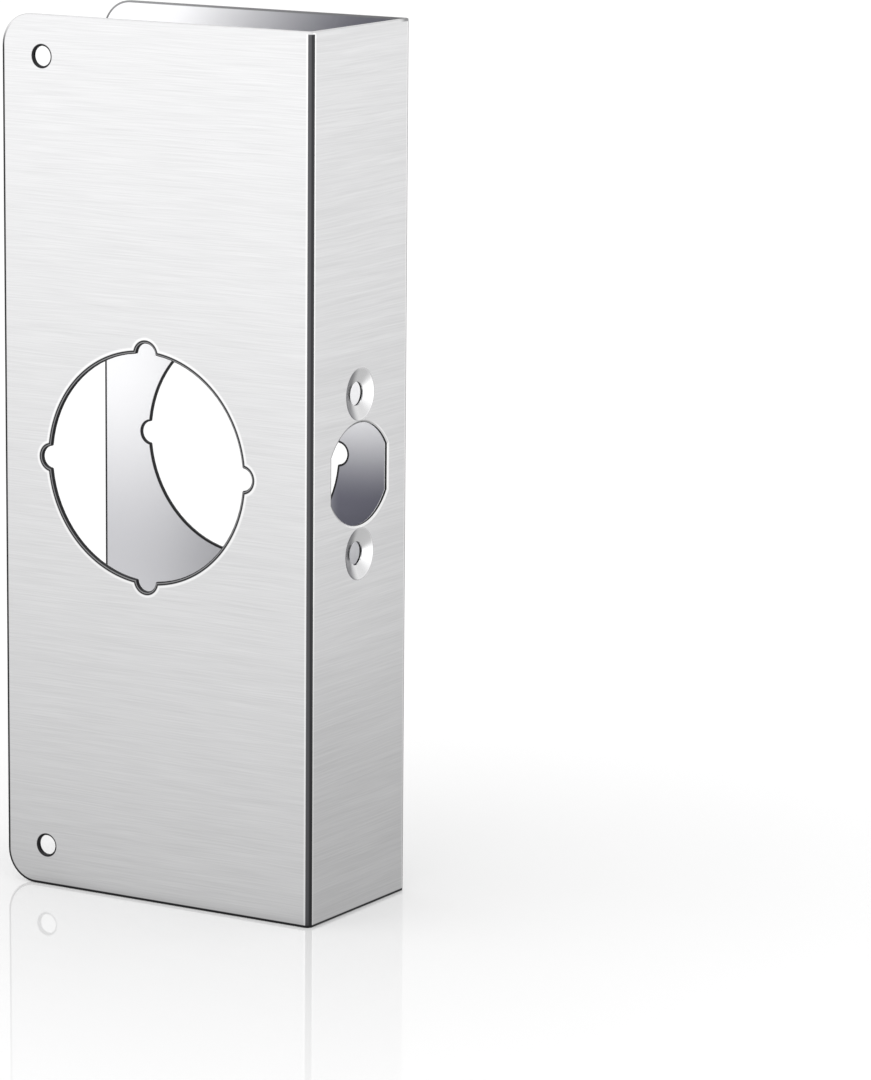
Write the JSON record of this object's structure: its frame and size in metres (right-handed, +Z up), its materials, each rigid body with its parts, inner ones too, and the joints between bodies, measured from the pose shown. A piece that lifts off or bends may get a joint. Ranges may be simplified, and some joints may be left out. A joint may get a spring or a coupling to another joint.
{
  "type": "door reinforcer plate",
  "caption": "Folded U-shaped metal plate that wraps a door's edge, with a notched round lock bore through both flanges, a latch opening and dimpled screw holes in the edge.",
  "frame": {"origin": "on the lock bore's axis, half-way between the two flanges, so at half the door's thickness", "axes": "+Z up along the door's edge, +X out of the door's edge, -Y out of the door's front face, and the lock bore runs along Y"},
  "size_m": [0.094, 0.0468, 0.2286],
  "materials": {
    "brushed_stainless": "stainless sheet, brushed lengthwise across the outside, plain inside"
  },
  "bodies": {
    "root": {"reinforcer_plate": "brushed_stainless"}
  },
  "joints": []
}
